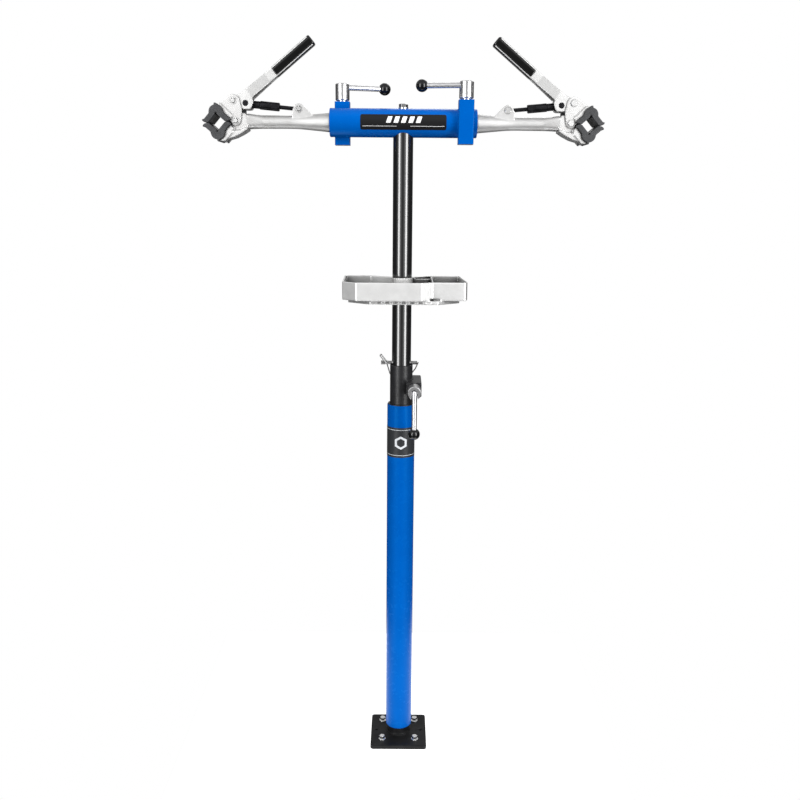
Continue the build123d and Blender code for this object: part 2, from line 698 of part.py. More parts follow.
def moving_jaw(side):
    """Two side plates about the pivots, joined by the saddle that backs the upper pad."""
    plane = clamp_plane(side)
    pad_plane = local_plane(side, JAW_CENTRE, JAW_TILT)
    with BuildPart() as jaw:
        with BuildSketch(pad_plane):
            Polygon((1.5, 28), (2.5, 36.5), (10, 36), (32, 12), (31, 4), (24, 4), align=None)
            fillet(vertices().sort_by(Axis.X)[-1], 2.0)
        extrude(amount=SADDLE_HALF, both=True)
        with BuildSketch(plane):
            with Locations(JAW_PIVOT):
                Circle(HUB_R + 2 * GAP)
        extrude(amount=PAD_HALF, both=True, mode=Mode.SUBTRACT)
        for face in (JAW_PLATE_IN, -JAW_PLATE_OUT):
            with BuildSketch(plane.offset(face)):
                with BuildLine():
                    CenterArc(LEVER_PIVOT, 12.5, 0, 360)
                    CenterArc(JAW_PIVOT, HUB_R + 2 * GAP, 0, 360)
                    CenterArc((-337.5, 20), 11.0, 0, 360)
                    CenterArc((-368.5, 33.5), 3.0, 0, 360)
                make_hull()
            extrude(amount=JAW_PLATE_OUT - JAW_PLATE_IN)
        with BuildSketch(pad_plane):
            pad_outline(1)
        extrude(amount=PAD_HALF, both=True, mode=Mode.SUBTRACT)
        with BuildSketch(plane):
            with Locations(LEVER_PIVOT):
                Circle(PIVOT_R)
            with Locations(JAW_PIVOT):
                Circle(PIVOT_R + FIT)
        extrude(amount=PAD_HALF, both=True, mode=Mode.SUBTRACT)
    save(jaw, f"{side}_moving_jaw")


def arm_shoulder(side):
    """Swelling from the round shank to the wide hub."""
    plane = clamp_plane(side)
    outer_end, inner_end = -317.0, -284.0

    def across(distance):
        centre = plane.from_local_coords(Vector(distance, 0, 0))
        return Plane(origin=centre, x_dir=plane.z_dir, z_dir=plane.x_dir)

    with BuildPart() as swelling:
        with BuildSketch(across(outer_end)):
            with Locations((0, -1.3)):
                RectangleRounded(2 * HUB_HALF, 29.0, 9.0)
        with BuildSketch(across(inner_end)):
            Circle(ARM_R - 0.6)
        loft()
    return swelling.part


def clamp_arm(side):
    """Cast arm: spigot, tapered shank, lug for the link and the fixed lower jaw."""
    plane = clamp_plane(side)
    pad_plane = local_plane(side, JAW_CENTRE, JAW_TILT)
    shoulder = arm_shoulder(side)
    with BuildPart() as arm:
        with BuildSketch(plane):
            with BuildLine():
                Polyline((-152, SPIGOT_R), (-38, SPIGOT_R), (-36, SPIGOT_R - 2), (-36, 0), (-322, 0),
                         (-322, 15.2))
                Spline((-322, 15.2), (-300, ARM_R + 0.2), (-262, ARM_R - 0.3), (-212, ARM_R),
                       (-180, ARM_R + 2.8), (-152, SPIGOT_R), tangents=((1, -0.08), (1, 0.12)))
            make_face()
        revolve(axis=Axis(plane.origin, plane.x_dir))
        with BuildSketch(plane):
            Polygon((-324, 14.4), (-331, 9), (-339, 9.4), (-347, 3), (-352, -12), (-358, -20), (-372, -36),
                    (-362, -36), (-342.5, -31), (-326.7, -23), (-316, -16.5), (-316, 12), align=None)
        extrude(amount=HUB_HALF, both=True)
        add(shoulder)
        with BuildSketch(pad_plane):
            Polygon((1, -30), (2.5, -37), (13, -37), (29, -22), (31, -12.5), (27, -8), (24, -4), align=None)
            fillet(vertices().sort_by(Axis.X)[-1], 2.0)
        extrude(amount=SADDLE_HALF, both=True)
        with BuildSketch(plane):
            Polygon((-318, -12), (-330, -17), (-345, -19), (-356, -18), (-371, -37), (-362, -36.5),
                    (-342.5, -31), (-326.7, -23), (-316, -16), align=None)
        extrude(amount=SADDLE_HALF - 3, both=True)
        with BuildSketch(plane):
            with Locations(JAW_PIVOT):
                Circle(HUB_R)
            with Locations((-324.6, 13)):
                Rectangle(9, 6)
        extrude(amount=HUB_HALF, both=True)
        for side_sign in (1, -1):
            with BuildSketch(plane.offset(side_sign * (HUB_HALF + 15))):
                with Locations(JAW_PIVOT):
                    Circle(10.6)
            extrude(amount=-side_sign * 15, mode=Mode.SUBTRACT)
        for low in (LUG_IN, -LUG_OUT):
            with BuildSketch(plane.offset(low)):
                with BuildLine():
                    CenterArc(LUG_PIVOT, 10.8, 0, 360)
                    Line((-226.3, 8), (-226.3, 22))
                    Line((-181, 10), (-181, 8))
                make_hull()
            extrude(amount=LUG_OUT - LUG_IN)
        with BuildSketch(pad_plane):
            pad_outline(-1)
        extrude(amount=PAD_HALF, both=True, mode=Mode.SUBTRACT)
        peg_top = pad_plane.from_local_coords(PEG_AT)
        peg_plane = Plane(origin=peg_top, x_dir=plane.x_dir, z_dir=-pad_plane.y_dir)
        with BuildSketch(peg_plane):
            Circle(PEG_R)
        extrude(amount=PEG_LENGTH, mode=Mode.SUBTRACT)
        with BuildSketch(plane):
            with Locations(JAW_PIVOT, LUG_PIVOT):
                Circle(PIVOT_R)
        extrude(amount=PAD_HALF, both=True, mode=Mode.SUBTRACT)
    save(arm, f"{side}_arm")


def pivot_pin(side, centre, grip_half):
    """Headed pivot pin with its open retaining ring, as two solids."""
    base = clamp_plane(side)
    plane = Plane(origin=base.from_local_coords(Vector(*centre)), x_dir=base.x_dir, z_dir=base.z_dir)
    seat = grip_half + GAP
    head_r, ring_r, ring_thick = 7.0, 7.0, 1.2
    with BuildPart() as pin:
        with BuildSketch(plane.offset(-seat)):
            Circle(PIVOT_R)
        extrude(amount=2 * seat + 3)
        with BuildSketch(plane.offset(-seat)):
            Circle(head_r)
        extrude(amount=-1.2)
        with BuildSketch(plane.offset(-seat - 1.2)):
            Circle(head_r)
        extrude(amount=-1.4, taper=40)
        with BuildSketch(plane.offset(seat)):
            Circle(ring_r)
            Circle(ring_r - 1.5, mode=Mode.SUBTRACT)
            with PolarLocations((PIVOT_R + ring_r) / 2, 3, start_angle=90, angular_range=180):
                Rectangle(ring_r - PIVOT_R, 2.4)
            Circle(PIVOT_R + 0.01, mode=Mode.SUBTRACT)
            with Locations((ring_r, 0)):
                Rectangle(ring_r, 4.4, mode=Mode.SUBTRACT)
        extrude(amount=ring_thick)
    return pin.part


def clamp_pins(side):
    """Pins of the arm, of the moving jaw, and the lever's two link studs."""
    hub_pin = pivot_pin(side, JAW_PIVOT, JAW_PLATE_OUT)
    lug_pin = pivot_pin(side, LUG_PIVOT, LUG_OUT)
    plate_pin = pivot_pin(side, LEVER_PIVOT, JAW_PLATE_OUT)
    with BuildPart() as arm_pins:
        add([hub_pin, lug_pin])
    save(arm_pins, f"{side}_arm_pins")
    with BuildPart() as jaw_pin:
        add(plate_pin)
    save(jaw_pin, f"{side}_jaw_pin")
    plane = clamp_plane(side)
    stud_in = 9.2
    with BuildPart() as studs:
        for sign in (1, -1):
            with BuildSketch(plane.offset(sign * stud_in)):
                with Locations(LINK_PIVOT):
                    Circle(PIVOT_R)
            extrude(amount=sign * (LEVER_HALF - stud_in))
            with BuildSketch(plane.offset(sign * LEVER_HALF)):
                with Locations(LINK_PIVOT):
                    Circle(6.0)
            extrude(amount=sign * 2.0, taper=35)
    save(studs, f"{side}_lever_studs")


def handle_point(along, across):
    """Clamp-plane point given along the handle and across it, both from the plane's origin."""
    turn = radians(HANDLE_ANGLE)
    return (along * cos(turn) - across * sin(turn), along * sin(turn) + across * cos(turn))


def handle_station(side, distance):
    """Plane across the handle: its X is the clamp's width, its Y lies across the handle."""
    plane = clamp_plane(side)
    turn = radians(HANDLE_ANGLE)
    along = plane.x_dir * cos(turn) + plane.y_dir * sin(turn)
    across = plane.y_dir * cos(turn) - plane.x_dir * sin(turn)
    return Plane(origin=plane.origin + along * distance, x_dir=across.cross(along), z_dir=along)


def handle_bar(side, half_wide, half_narrow, low, high):
    """Bar that narrows from the lever's head to the handle, then runs on to the grip's end."""
    size_y, middle = high - low, (high + low) / 2
    with BuildPart() as bar:
        with BuildSketch(handle_station(side, TAPER_START)):
            with Locations((0, middle)):
                Rectangle(2 * half_wide, size_y)
        with BuildSketch(handle_station(side, TAPER_END)):
            with Locations((0, middle)):
                Rectangle(2 * half_narrow, size_y)
        loft()
        with BuildSketch(handle_station(side, TAPER_END)):
            with Locations((0, middle)):
                Rectangle(2 * half_narrow, size_y)
        extrude(amount=GRIP_END - 5 - TAPER_END)
    return bar.part


def lever(side):
    """Pressed channel: two cheeks joined along the top, narrowing to the handle."""
    plane = clamp_plane(side)
    inner = LEVER_HALF - LEVER_CHEEK
    web_low = HANDLE_HIGH - LEVER_CHEEK
    handle = handle_bar(side, LEVER_HALF, HANDLE_HALF, HANDLE_LOW, HANDLE_HIGH)
    hollow = handle_bar(side, inner, HANDLE_HALF - LEVER_CHEEK, HANDLE_LOW - 6, web_low)
    with BuildPart() as channel:
        with BuildSketch(plane):
            with BuildLine():
                head = Polyline(handle_point(TAPER_START, HANDLE_HIGH), handle_point(-218, HANDLE_HIGH),
                                (-338, 50.2), (-349, 45), (-344, 27.6), (-331, 25.2), (-322, 23.2),
                                (-312.5, 23.4))
                curve = Spline(head @ 1, (-306.2, 30), (-304.4, 41), handle_point(TAPER_START, HANDLE_LOW),
                               tangents=((1, 0.2), (0.6, 0.8)))
                Line(curve @ 1, head @ 0)
            make_face()
            with Locations(LEVER_PIVOT):
                Circle(12.0)
        extrude(amount=LEVER_HALF, both=True)
        add(handle)
        with BuildSketch(plane):
            Polygon(handle_point(TAPER_START, web_low), handle_point(-219, web_low),
                    handle_point(-262, web_low), handle_point(-262, 190), handle_point(TAPER_START, 190),
                    align=None)
        extrude(amount=inner, both=True, mode=Mode.SUBTRACT)
        add(hollow, mode=Mode.SUBTRACT)
        with BuildSketch(plane):
            with Locations(LEVER_PIVOT):
                Circle(PIVOT_R + FIT)
            with Locations(LINK_PIVOT):
                Circle(PIVOT_R)
        extrude(amount=LEVER_HALF, both=True, mode=Mode.SUBTRACT)
    save(channel, f"{side}_lever")


def grip(side):
    """Dipped vinyl grip over the end of the handle."""
    side_wall, edge_wall = 2.2, 1.2
    height, middle = HANDLE_HIGH - HANDLE_LOW, (HANDLE_HIGH + HANDLE_LOW) / 2
    start = handle_station(side, GRIP_START)
    with BuildPart() as cover:
        with BuildSketch(start):
            with Locations((0, middle)):
                RectangleRounded(2 * (HANDLE_HALF + side_wall), height + 2 * edge_wall, 8.0)
        extrude(amount=GRIP_LENGTH)
        fillet(cover.faces().sort_by(Axis(start.origin, start.z_dir))[-1].edges(), 3.0)
        with BuildSketch(start):
            with Locations((0, middle)):
                Rectangle(2 * HANDLE_HALF, height)
        extrude(amount=GRIP_LENGTH - 5, mode=Mode.SUBTRACT)
    save(cover, f"{side}_grip")


def lever_stop(side):
    """Rubber block on the arm that the closed lever comes to rest over."""
    with BuildPart() as stop:
        with BuildSketch(clamp_plane(side)):
            with Locations((-324.6, 19.2)):
                Rectangle(6.4, 6.4)
        extrude(amount=7, both=True)
    save(stop, f"{side}_lever_stop")


def link(side):
    """Threaded rod from the lug, eye at the lever, and the sleeve that joins them."""
    base = clamp_plane(side)
    start = base.from_local_coords(Vector(LUG_PIVOT[0], LUG_PIVOT[1], 0))
    end = base.from_local_coords(Vector(LINK_PIVOT[0], LINK_PIVOT[1], 0))
    along = (end - start).normalized()
    length = (end - start).length

    def station(distance):
        return Plane(origin=start + along * distance, x_dir=base.z_dir, z_dir=along)

    with BuildPart() as rod:
        with BuildSketch(base):
            with Locations(LUG_PIVOT):
                Circle(8.5)
        extrude(amount=LINK_EYE_HALF, both=True)
        with BuildSketch(station(6)):
            Circle(PIVOT_R)
        extrude(amount=ADJUSTER_NEAR + 15 - 6)
        with BuildSketch(base):
            with Locations(LUG_PIVOT):
                Circle(PIVOT_R + FIT)
        extrude(amount=LINK_EYE_HALF, both=True, mode=Mode.SUBTRACT)
    save(rod, f"{side}_link_rod")

    with BuildPart() as sleeve:
        with BuildSketch(station(ADJUSTER_NEAR)):
            Circle(ADJUSTER_R)
        extrude(amount=ADJUSTER_FAR - ADJUSTER_NEAR)
        chamfer(sleeve.edges().filter_by(GeomType.CIRCLE), 0.8)
        for sign in (1, -1):
            with BuildSketch(station(ADJUSTER_NEAR + 4)):
                with Locations((sign * ADJUSTER_R, 0)):
                    Rectangle(2.4, 2 * ADJUSTER_R)
            extrude(amount=12, mode=Mode.SUBTRACT)
        with BuildSketch(station(ADJUSTER_NEAR)):
            Circle(PIVOT_R + FIT)
        extrude(amount=ADJUSTER_FAR - ADJUSTER_NEAR, mode=Mode.SUBTRACT)
    save(sleeve, f"{side}_adjuster_sleeve")

    with BuildPart() as eye:
        with BuildSketch(base):
            with Locations(LINK_PIVOT):
                Circle(8.0)
        extrude(amount=LINK_EYE_HALF, both=True)
        with BuildSketch(station(ADJUSTER_FAR + GAP)):
            Circle(7.4)
        extrude(amount=length - 6 - ADJUSTER_FAR)
        with BuildSketch(station(ADJUSTER_FAR - 15)):
            Circle(PIVOT_R)
        extrude(amount=20)
        with BuildSketch(base):
            with Locations(LINK_PIVOT):
                Circle(PIVOT_R + FIT)
        extrude(amount=LINK_EYE_HALF + 2, both=True, mode=Mode.SUBTRACT)
    save(eye, f"{side}_link_eye")


# ---- build everything ---------------------------------------------------------------------------
base_plate()
base_fasteners()
post_tube()
post_bushes()
post_label()
clamp_sleeve()
wedge("height_fixed_wedge", ("height",), moving=False)
wedge("beam_fixed_wedges", ("left", "right"), moving=False)
for lock in ("height", "left", "right"):
    wedge(f"{lock}_moving_wedge", (lock,), moving=True)
    lock_barrel(lock)
    lock_bar(lock)
mast_glide()
mast_tube()
mast_plug()
beam_bolt()
beam()
beam_bushes()
beam_label()
safety_pin()
pin_bail()
tray()
tray_collar()
for clamp in ("left", "right"):
    clamp_arm(clamp)
    pad(clamp, -1, "fixed_pad")
    pad(clamp, 1, "moving_pad")
    moving_jaw(clamp)
    clamp_pins(clamp)
    lever(clamp)
    grip(clamp)
    lever_stop(clamp)
    link(clamp)
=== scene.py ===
import json
from math import atan2, cos, pi, radians, sin, sqrt

import bmesh
import bpy
from mathutils import Matrix, Vector


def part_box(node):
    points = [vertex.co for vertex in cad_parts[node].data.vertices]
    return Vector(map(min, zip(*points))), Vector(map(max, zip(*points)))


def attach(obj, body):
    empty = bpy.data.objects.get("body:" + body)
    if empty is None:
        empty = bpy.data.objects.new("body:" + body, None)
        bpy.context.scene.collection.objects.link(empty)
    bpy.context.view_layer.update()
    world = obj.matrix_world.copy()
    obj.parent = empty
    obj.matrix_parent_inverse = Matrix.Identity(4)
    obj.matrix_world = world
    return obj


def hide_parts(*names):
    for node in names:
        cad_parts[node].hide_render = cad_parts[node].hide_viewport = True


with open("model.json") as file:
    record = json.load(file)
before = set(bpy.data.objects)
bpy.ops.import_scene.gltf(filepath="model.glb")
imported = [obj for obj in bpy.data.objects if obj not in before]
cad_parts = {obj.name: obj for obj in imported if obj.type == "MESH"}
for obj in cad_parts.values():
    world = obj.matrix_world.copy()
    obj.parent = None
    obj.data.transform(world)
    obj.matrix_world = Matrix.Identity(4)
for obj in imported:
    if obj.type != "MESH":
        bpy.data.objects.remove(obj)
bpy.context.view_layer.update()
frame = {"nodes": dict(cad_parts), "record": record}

# Bolt-down repair stand: finishes, cast and moulded surfaces, welds, studio and camera. Metres.

scene = bpy.context.scene
SIDES = {"left": 1, "right": -1}

# ---- places taken from the frame ----------------------------------------------------------------
MM = 0.001
beam_low, beam_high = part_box("beam_bushes")
BEAM_Z = (beam_low.z + beam_high.z) / 2
BEAM_R = 28.575 * MM
SLEEVE_R = 24.5 * MM
HOUSING_HALF = 15.5 * MM
HOUSING_OFFSET = 28.0 * MM
BEAM_LOCK_X = 126.0 * MM
wedge_low, wedge_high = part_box("height_fixed_wedge")
HEIGHT_LOCK_Z = (wedge_low.z + wedge_high.z) / 2
STUB_R = 24.15 * MM
PLATE_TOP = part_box("base_washers")[0].z
HANDLE_ANGLE = 39.5      # degrees, slope of the lever handles
PAD_ANGLE = 49.0         # degrees, slope of the pads' flat faces


# ---- materials ----------------------------------------------------------------------------------
def principled(name, color, roughness, metallic=0.0, coat=0.0, coat_roughness=0.03):
    """A new material whose shader has these plain values."""
    mat = bpy.data.materials.new(name)
    mat.use_nodes = True
    shader = mat.node_tree.nodes["Principled BSDF"]
    shader.inputs["Base Color"].default_value = (*color, 1)
    shader.inputs["Roughness"].default_value = roughness
    shader.inputs["Metallic"].default_value = metallic
    shader.inputs["Coat Weight"].default_value = coat
    shader.inputs["Coat Roughness"].default_value = coat_roughness
    return mat


def add_node(mat, kind, **values):
    """A node of this kind, with its inputs set by name."""
    made = mat.node_tree.nodes.new(kind)
    for key, value in values.items():
        made.inputs[key.replace("_", " ")].default_value = value
    return made


def join(mat, start, end):
    """Link one socket to another."""
    mat.node_tree.links.new(start, end)


def shader_input(mat, name):
    """A socket of the material's shader."""
    return mat.node_tree.nodes["Principled BSDF"].inputs[name]


def noise(mat, scale, detail=3.0):
    """Noise in object space; scale is in features per metre."""
    place = add_node(mat, "ShaderNodeTexCoord")
    texture = add_node(mat, "ShaderNodeTexNoise", Scale=scale, Detail=detail, Roughness=0.55)
    join(mat, place.outputs["Object"], texture.inputs["Vector"])
    return texture.outputs["Fac"]


def spread(mat, value, low, high, start=0.3, end=0.7):
    """A value remapped to run from low to high."""
    ramp = add_node(mat, "ShaderNodeMapRange")
    ramp.inputs["From Min"].default_value = start
    ramp.inputs["From Max"].default_value = end
    ramp.inputs["To Min"].default_value = low
    ramp.inputs["To Max"].default_value = high
    join(mat, value, ramp.inputs["Value"])
    return ramp.outputs["Result"]


def mottle(mat, value, dark, light):
    """Colour that varies between two tones."""
    mix = mat.node_tree.nodes.new("ShaderNodeMix")
    mix.data_type = "RGBA"
    mix.inputs["A"].default_value = (0, 0, 0, 1)
    for socket, tone in zip([s for s in mix.inputs if s.type == "RGBA"], (dark, light)):
        socket.default_value = (*tone, 1)
    join(mat, value, mix.inputs["Factor"])
    out = next(s for s in mix.outputs if s.type == "RGBA")
    join(mat, out, shader_input(mat, "Base Color"))
    return out


def vary_roughness(mat, scale, roughness, low, high, detail=3.0):
    """Roughness that drifts over the surface between two multiples of its middle value."""
    drift = spread(mat, noise(mat, scale, detail), roughness * low, roughness * high)
    join(mat, drift, shader_input(mat, "Roughness"))


def relief(mat, layers, edge=0.0, coat=False):
    """Bump from (value, depth in metres) layers over edges rounded by the given radius."""
    normal = None
    if edge:
        bevel = add_node(mat, "ShaderNodeBevel", Radius=edge)
        normal = bevel.outputs["Normal"]
    for value, depth in layers:
        bump = add_node(mat, "ShaderNodeBump", Distance=depth)
        join(mat, value, bump.inputs["Height"])
        if normal:
            join(mat, normal, bump.inputs["Normal"])
        normal = bump.outputs["Normal"]
    join(mat, normal, shader_input(mat, "Normal"))
    if coat:
        join(mat, normal, shader_input(mat, "Coat Normal"))
    return mat


def gloss_paint(name, dark, light, roughness, specular, tint, peel):
    """Sprayed paint: slow drift in tone, faint orange peel and a tinted sheen."""
    mat = principled(name, light, roughness)
    shader_input(mat, "Specular IOR Level").default_value = specular
    shader_input(mat, "Specular Tint").default_value = (*tint, 1)
    mottle(mat, spread(mat, noise(mat, 14), 0, 1), dark, light)
    vary_roughness(mat, 90, roughness, 0.9, 1.1)
    return relief(mat, [(noise(mat, 420, 1.5), peel)], edge=0.7 * MM)


def lacquer(name, dark, light, coat_ior):
    """Black paint under a clear, mirror-like top layer."""
    mat = principled(name, light, 0.3, coat=1.0)
    shader_input(mat, "Coat IOR").default_value = coat_ior
    mottle(mat, spread(mat, noise(mat, 14), 0, 1), dark, light)
    return relief(mat, [(noise(mat, 300, 1), 0.002 * MM)], edge=0.5 * MM, coat=True)


def powder_coat(name, dark, light, roughness, specular, edge=0.8 * MM):
    """Satin powder coat with its fine leathery grain."""
    mat = principled(name, light, roughness)
    shader_input(mat, "Specular IOR Level").default_value = specular
    mottle(mat, spread(mat, noise(mat, 60), 0, 1), dark, light)
    vary_roughness(mat, 200, roughness, 0.85, 1.15)
    return relief(mat, [(noise(mat, 900, 2), 0.06 * MM)], edge)


def painted_recess_shade(mat, color, reach, depth, start, end):
    """Painted shade: darken a colour where the surface lies in a recess narrower than the reach."""
    hollow = add_node(mat, "ShaderNodeAmbientOcclusion", Distance=reach)
    hollow.samples = 8
    shade = spread(mat, hollow.outputs["AO"], depth, 1.0, start, end)
    mix = mat.node_tree.nodes.new("ShaderNodeVectorMath")
    mix.operation = "SCALE"
    join(mat, color, mix.inputs[0])
    join(mat, shade, mix.inputs["Scale"])
    join(mat, mix.outputs["Vector"], shader_input(mat, "Base Color"))


def cast_metal(name, dark, light, roughness, metallic, depth, reach, shade, start, end):
    """Tumbled casting: cloudy grey, fine pits, a slow waviness and recesses darkened with painted shade.
    The shade is how dark a recess's painted shade gets, and start and end are how open the surface is
    where that begins and ends."""
    mat = principled(name, light, roughness, metallic)
    color = mottle(mat, spread(mat, noise(mat, 45, 6), 0, 1), dark, light)
    # Painted shade: an ambient occlusion node darkens the base colour in recesses.
    painted_recess_shade(mat, color, reach, shade, start, end)
    vary_roughness(mat, 60, roughness, 0.96, 1.05, detail=2)
    pits = spread(mat, noise(mat, 700, 2), 0, 1, 0.35, 0.6)
    return relief(mat, [(noise(mat, 110, 2), depth * 2), (pits, depth)])


def plated_metal(name, dark, light, roughness, edge=0.5 * MM):
    """Plated steel: a slight drift in tone and sheen over a very fine grain."""
    mat = principled(name, light, roughness, metallic=1.0)
    mottle(mat, spread(mat, noise(mat, 70, 4), 0, 1), dark, light)
    grain = noise(mat, 500, 2)
    vary_roughness(mat, 60, roughness, 0.96, 1.05, detail=2)
    return relief(mat, [(grain, 0.001 * MM)], edge)


def moulded(name, dark, light, roughness, depth, grain=700, edge=0.6 * MM):
    """Moulded plastic or rubber with a fine grain and slightly uneven sheen."""
    mat = principled(name, light, roughness)
    mottle(mat, spread(mat, noise(mat, 80, 4), 0, 1), dark, light)
    vary_roughness(mat, 150, roughness, 0.85, 1.15)
    return relief(mat, [(noise(mat, grain, 2), depth)], edge)


# Colours are linear, darkest and lightest tone. Edge 0 is for pieces whose edges are rounded already.
MATERIALS = {
    "blue_paint": gloss_paint(
        "blue_paint", (0.0, 0.076, 0.355), (0.0, 0.086, 0.39), roughness=0.26, specular=0.25,
        tint=(0.02, 0.5, 1.0), peel=0.004 * MM),
    "mast_paint": lacquer("mast_paint", (0.0018, 0.0018, 0.002), (0.003, 0.0034, 0.0042), coat_ior=1.85),
    "dark_paint": powder_coat(
        "dark_paint", (0.012, 0.012, 0.013), (0.02, 0.02, 0.022), roughness=0.34, specular=0.35),
    "black_plate": powder_coat(
        "black_plate", (0.007, 0.007, 0.0075), (0.013, 0.013, 0.0135), roughness=0.38, specular=0.12,
        edge=0.0),
    "zinc_steel": plated_metal("zinc_steel", (0.78, 0.79, 0.8), (0.95, 0.95, 0.95), 0.22),
    "wire_steel": plated_metal("wire_steel", (0.3, 0.3, 0.3), (0.42, 0.42, 0.42), 0.3),
    "wedge_steel": plated_metal("wedge_steel", (0.36, 0.36, 0.37), (0.5, 0.5, 0.51), 0.36),
    "chrome": plated_metal("chrome", (0.7, 0.7, 0.71), (0.82, 0.82, 0.83), 0.3),
    "plated_steel": plated_metal("plated_steel", (0.74, 0.74, 0.735), (0.84, 0.84, 0.835), 0.36),
    "lever_steel": plated_metal("lever_steel", (0.66, 0.66, 0.655), (0.71, 0.71, 0.705), 0.46, edge=0.0),
    "black_steel": plated_metal("black_steel", (0.02, 0.02, 0.022), (0.045, 0.045, 0.05), 0.3),
    # Both cast metals carry painted shade: their base colour darkens in recesses, and the tray's whole
    # interior is darkened.
    "cast_aluminium": cast_metal(
        "cast_aluminium", (0.6, 0.595, 0.59), (0.68, 0.68, 0.675), roughness=0.44, metallic=0.82,
        depth=0.001 * MM, reach=8 * MM, shade=0.35, start=0.25, end=0.85),
    "tray_metal": cast_metal(
        "tray_metal", (0.8, 0.8, 0.795), (0.88, 0.88, 0.875), roughness=0.42, metallic=0.78,
        depth=0.004 * MM, reach=60 * MM, shade=0.08, start=0.4, end=0.95),
    "black_plastic": moulded(
        "black_plastic", (0.008, 0.008, 0.008), (0.014, 0.014, 0.015), 0.4, 0.05 * MM),
    "pad_rubber": moulded(
        "pad_rubber", (0.02, 0.021, 0.023), (0.038, 0.039, 0.042), 0.42, 0.1 * MM, edge=0.0),
    "grip_vinyl": moulded(
        "grip_vinyl", (0.002, 0.002, 0.002), (0.004, 0.004, 0.004), 0.12, 0.01 * MM, grain=260,
        edge=0.0),
    "ball_plastic": moulded(
        "ball_plastic", (0.003, 0.003, 0.003), (0.005, 0.005, 0.006), 0.06, 0.003 * MM, grain=200),
}


def between(mat, coordinate, low, high):
    """1 where a coordinate lies between two values."""
    over = add_node(mat, "ShaderNodeMath")
    over.operation = "GREATER_THAN"
    under = add_node(mat, "ShaderNodeMath")
    under.operation = "LESS_THAN"
    both = add_node(mat, "ShaderNodeMath")
    both.operation = "MULTIPLY"
    over.inputs[1].default_value = low
    under.inputs[1].default_value = high
    join(mat, coordinate, over.inputs[0])
    join(mat, coordinate, under.inputs[0])
    join(mat, over.outputs[0], both.inputs[0])
    join(mat, under.outputs[0], both.inputs[1])
    return both.outputs[0]


def combine(mat, operation, first, second):
    """Two values put through a math node."""
    made = add_node(mat, "ShaderNodeMath")
    made.operation = operation
    for socket, value in zip(made.inputs, (first, second)):
        if isinstance(value, float):
            socket.default_value = value
        else:
            join(mat, value, socket)
    return made.outputs[0]


def printed_label(name, ground, ink, marks):
    """Glossy film with a plain printed mark, drawn from object-space X and Z."""
    mat = principled(name, ground, 0.34, coat=0.12, coat_roughness=0.08)
    shader_input(mat, "Specular IOR Level").default_value = 0.2
    place = add_node(mat, "ShaderNodeTexCoord")
    split = add_node(mat, "ShaderNodeSeparateXYZ")
    join(mat, place.outputs["Object"], split.inputs["Vector"])
    printed = marks(mat, split.outputs["X"], split.outputs["Z"])
    mottle(mat, printed, ground, ink)
    relief(mat, [(noise(mat, 500, 1), 0.01 * MM)])
    return mat


def beam_marks(mat, x, z):
    """Five slanted bars over a thin rule that is broken in the middle."""
    bar_low, bar_high, bar_half, pitch = -1.5 * MM, 11 * MM, 4.5 * MM, 15 * MM
    slope = 0.35
    rule_z, rule_half, rule_in, rule_out = -8 * MM, 0.35 * MM, 14 * MM, 83 * MM
    lean = combine(mat, "MULTIPLY", combine(mat, "SUBTRACT", z, float(BEAM_Z)), slope)
    slanted = combine(mat, "SUBTRACT", x, lean)
    marks = None
    for middle in (-2 * pitch, -pitch, 0.0, pitch, 2 * pitch):
        bar = between(mat, slanted, middle - bar_half, middle + bar_half)
        marks = bar if marks is None else combine(mat, "MAXIMUM", marks, bar)
    marks = combine(mat, "MULTIPLY", marks, between(mat, z, BEAM_Z + bar_low, BEAM_Z + bar_high))
    rule = between(mat, z, BEAM_Z + rule_z - rule_half, BEAM_Z + rule_z + rule_half)
    for low, high in ((-rule_out, -rule_in), (rule_in, rule_out)):
        part = combine(mat, "MULTIPLY", rule, between(mat, x, low, high))
        marks = combine(mat, "MAXIMUM", marks, part)
    return marks


def post_marks(mat, x, z):
    """A light hexagon ring between two thin rules."""
    ring_in, ring_out = 8.5 * MM, 13 * MM
    rule_inset, rule_half = 5 * MM, 0.5 * MM
    low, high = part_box("post_label")
    middle = (low.z + high.z) / 2
    up = combine(mat, "SUBTRACT", z, float(middle))
    reach = None
    for turn in (0, 60, 120):
        along = combine(mat, "MULTIPLY", x, cos(radians(turn)))
        across = combine(mat, "MULTIPLY", up, sin(radians(turn)))
        distance = combine(mat, "ABSOLUTE", combine(mat, "ADD", along, across), 0.0)
        reach = distance if reach is None else combine(mat, "MAXIMUM", reach, distance)
    marks = between(mat, reach, ring_in, ring_out)
    for rule_z in (low.z + rule_inset, high.z - rule_inset):
        rule = between(mat, z, rule_z - rule_half, rule_z + rule_half)
        marks = combine(mat, "MAXIMUM", marks, rule)
    return marks


MATERIALS["beam_label"] = printed_label(
    "beam_label", (0.008, 0.008, 0.009), (0.75, 0.75, 0.76), beam_marks)
MATERIALS["post_label"] = printed_label(
    "post_label", (0.028, 0.03, 0.033), (0.6, 0.62, 0.65), post_marks)
OWN_MATERIAL = {
    "beam_label": "beam_label", "post_label": "post_label", "tray": "tray_metal",
    "safety_pin": "wire_steel", "pin_bail": "wire_steel",
    "left_lever": "lever_steel", "right_lever": "lever_steel",
}


def paint(obj, mat):
    """Give an object one material over all its faces."""
    obj.data.materials.clear()
    obj.data.materials.append(mat)


# ---- helpers for new pieces -----------------------------------------------------------------------
def body_of_node(node):
    """The CAD body that a node belongs to."""
    bodies = frame["record"]["behaviour"]["bodies"]
    return next(name for name, nodes in bodies.items() if node in nodes)


def slot_of_node(node):
    """The record's material slot of a node."""
    return next(s["material_slot"] for s in frame["record"]["subparts"] if s["node"] == node)


